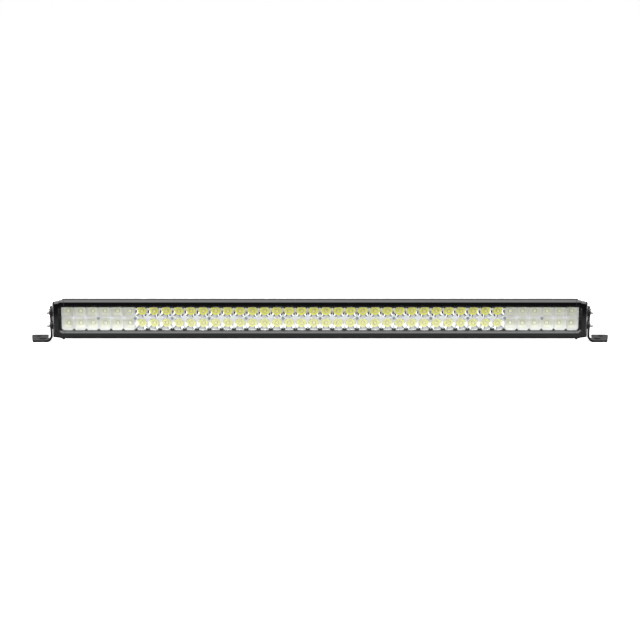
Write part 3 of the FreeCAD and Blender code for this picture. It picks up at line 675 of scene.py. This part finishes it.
def make_emitters(node, materials):
    """Square packages with a phosphor dome, one in each cup.

    The materials are named row by row from below: a package, then its dome.
    """
    low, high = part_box(node)
    columns = round((high.x - low.x) / PITCH + 0.5)
    middle = (low.x + high.x) / 2
    back = high.y
    front = back - BASE_HEIGHT
    shape = bmesh.new()
    for offset_x in even_steps(columns):
        x = middle + offset_x
        for row, offset_z in enumerate(even_steps(ROWS)):
            z = MIDDLE_Z + offset_z
            low_corner = (x - BASE_HALF, front, z - BASE_HALF)
            high_corner = (x + BASE_HALF, back, z + BASE_HALF)
            add_box(shape, low_corner, high_corner, BASE_EDGE, 2 * row)
            add_dome(shape, (x, front, z), DOME_RADIUS, 2 * row + 1)
    bmesh.ops.recalc_face_normals(shape, faces=shape.faces)
    mesh = finished_mesh(shape, node + "_packages")
    mesh.set_sharp_from_angle(angle=PACKAGE_CREASE)
    new_piece(node + "_packages", mesh, "bar", materials, node)


# ---- stage, light and camera ----
BAR_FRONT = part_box("heat_sink_housing")[0].y
FLOOR_HALF = 30.0
NEAR_GLOW_START = BAR_FRONT - 0.235
NEAR_GLOW_END = BAR_FRONT - 0.045
LIGHTS_AIM = Vector((0, 0, 0.05))

CAMERA_DISTANCE = 2.7
CAMERA_ELEVATION = math.radians(13.5)
CAMERA_TARGET = Vector((0, BAR_FRONT, 0.049))
CAMERA_LENS = 78.3

# Studio sky: grey by the sine of the elevation, towards the front (-Y) and towards the back.
# In front it is dark at and just below eye level, so that the upper bezel mirrors black.
SKY_STRENGTH = 2.0
FRONT_SKY = [
    (-1.0, 0.4),
    (-0.36, 0.45),
    (-0.29, 0.03),
    (0.0, 0.03),
    (0.1, 0.6),
    (0.35, 0.8),
    (0.6, 0.5),
    (1.0, 0.5),
]
BACK_SKY = [
    (-1.0, 0.06),
    (-0.55, 0.1),
    (-0.4, 0.6),
    (-0.12, 0.6),
    (0.0, 0.14),
    (0.23, 0.17),
    (0.5, 0.3),
    (1.0, 0.5),
]
# How far to each side of the middle one sky gives way to the other, as a sine
SKY_BLEND = 0.3


def ground_sheet(name, x_range, y_range):
    """A flat rectangle on the ground, which isn't part of the object."""
    low_x, high_x = x_range
    low_y, high_y = y_range
    mesh = bpy.data.meshes.new(name)
    corners = [(low_x, low_y, 0), (high_x, low_y, 0), (high_x, high_y, 0), (low_x, high_y, 0)]
    mesh.from_pydata(corners, [], [(0, 1, 2, 3)])
    sheet = bpy.data.objects.new(name, mesh)
    scene.collection.objects.link(sheet)
    sheet.visible_diffuse = False
    return sheet


def make_floor():
    """Plain white floor, which the object neither mirrors nor takes light from."""
    floor = ground_sheet("floor", (-FLOOR_HALF, FLOOR_HALF), (-FLOOR_HALF, FLOOR_HALF))
    shader = Shader("floor_white")
    shader.colour(shader.slow_change(shader.noise(2.0), 0.84, 0.86))
    shader.set(Roughness=0.9, Emission_Color=(1, 1, 1, 1), Emission_Strength=0.9)
    floor.data.materials.append(shader.material)
    floor.visible_glossy = False


def make_glow(name, x_range, y_range, strength):
    """Glowing patch of the ground that only shows in what the object mirrors."""
    glow = ground_sheet(name, x_range, y_range)
    shader = Shader(name)
    shader.set(Base_Color=(0, 0, 0, 1), Specular_IOR_Level=0.0)
    shader.set(Emission_Color=(1, 1, 1, 1), Emission_Strength=strength)
    glow.data.materials.append(shader.material)
    glow.visible_camera = False
    glow.visible_shadow = False


def make_area(name, place, size, power):
    """A soft rectangular light that looks at the bar."""
    light = bpy.data.lights.new(name, "AREA")
    light.shape = "RECTANGLE"
    light.size = size[0]
    light.size_y = size[1]
    light.energy = power
    lamp = bpy.data.objects.new(name, light)
    scene.collection.objects.link(lamp)
    lamp.location = place
    lamp.rotation_euler = (LIGHTS_AIM - Vector(place)).to_track_quat("-Z", "Y").to_euler()


def sky_ramp(tree, height, stops):
    """Grey along a height from 0 to 1, from (sine of the elevation, grey) stops."""
    return colour_ramp(tree, height, [((sine + 1) / 2, grey) for sine, grey in stops])


def make_world():
    """White to the camera, and for everything else the studio sky."""
    world = bpy.data.worlds.new("studio")
    scene.world = world
    world.use_nodes = True
    tree = world.node_tree
    tree.nodes.clear()
    output = tree.nodes.new("ShaderNodeOutputWorld")
    seen = tree.nodes.new("ShaderNodeBackground")
    seen.inputs["Color"].default_value = (1, 1, 1, 1)
    lit = tree.nodes.new("ShaderNodeBackground")
    lit.inputs["Strength"].default_value = SKY_STRENGTH
    place = tree.nodes.new("ShaderNodeTexCoord")
    split = tree.nodes.new("ShaderNodeSeparateXYZ")
    tree.links.new(place.outputs["Generated"], split.inputs["Vector"])
    height = unit_range(tree, split.outputs["Z"], -1.0, 1.0)
    to_back = unit_range(tree, split.outputs["Y"], -SKY_BLEND, SKY_BLEND)
    front_sky = sky_ramp(tree, height, FRONT_SKY)
    back_sky = sky_ramp(tree, height, BACK_SKY)
    tree.links.new(mixed_colour(tree, to_back, front_sky, back_sky), lit.inputs["Color"])
    path = tree.nodes.new("ShaderNodeLightPath")
    by_ray = path.outputs["Is Camera Ray"]
    surface = mixed_shader(tree, by_ray, lit.outputs["Background"], seen.outputs["Background"])
    tree.links.new(surface, output.inputs["Surface"])


def make_camera():
    """A long lens in front of the bar, a little above it."""
    data = bpy.data.cameras.new("camera")
    data.lens = CAMERA_LENS
    data.sensor_width = 36.0
    data.clip_end = 200.0
    camera = bpy.data.objects.new("camera", data)
    scene.collection.objects.link(camera)
    back_and_up = Vector((0, -math.cos(CAMERA_ELEVATION), math.sin(CAMERA_ELEVATION)))
    camera.location = CAMERA_TARGET + CAMERA_DISTANCE * back_and_up
    camera.rotation_euler = (math.pi / 2 - CAMERA_ELEVATION, 0, 0)
    scene.camera = camera


# ---- everything in place ----
paint_nodes()
for node_name in sorted(nodes):
    edged_as = best_match(EDGED, node_name)
    if edged_as:
        edged_piece(node_name, *edged_as)

for node_name in sorted(nodes):
    if node_name.startswith("reflector_spot_"):
        make_tray(node_name, "chrome", spot_rings)
    elif node_name.startswith("reflector_flood_"):
        make_tray(node_name, "frosted", flood_rings)
    elif node_name in ("led_emitters_1", "led_emitters_7"):
        make_emitters(node_name, ["pale_package", "pale_dome", "pale_package", "pale_dome"])
    elif node_name.startswith("led_emitters_"):
        # The lower row takes the paler copies, a painted reflection; the upper row takes the deep yellow
        # ones.
        make_emitters(node_name, ["sheen_painted_package", "sheen_painted_dome", "package", "dome"])

make_floor()
make_glow("near_floor_glow", (-0.9, 0.9), (NEAR_GLOW_START, NEAR_GLOW_END), strength=0.7)
make_glow("left_floor_glow", (-1.3, -0.6), (-0.05, 0.5), strength=1.2)
make_area("overhead", place=(0, -0.35, 1.3), size=(2.4, 0.8), power=24.0)
make_area("front_top", place=(0, -1.5, 1.6), size=(2.8, 1.4), power=12.0)
make_area("left_fill", place=(-1.8, -0.9, 0.7), size=(0.8, 0.8), power=6.0)
make_area("rear_top", place=(0, 1.4, 1.5), size=(2.4, 1.0), power=16.0)
make_world()
make_camera()
scene.view_settings.view_transform = "Standard"
scene.view_settings.look = "None"
scene.cycles.glossy_bounces = 8
scene.cycles.transparent_max_bounces = 16
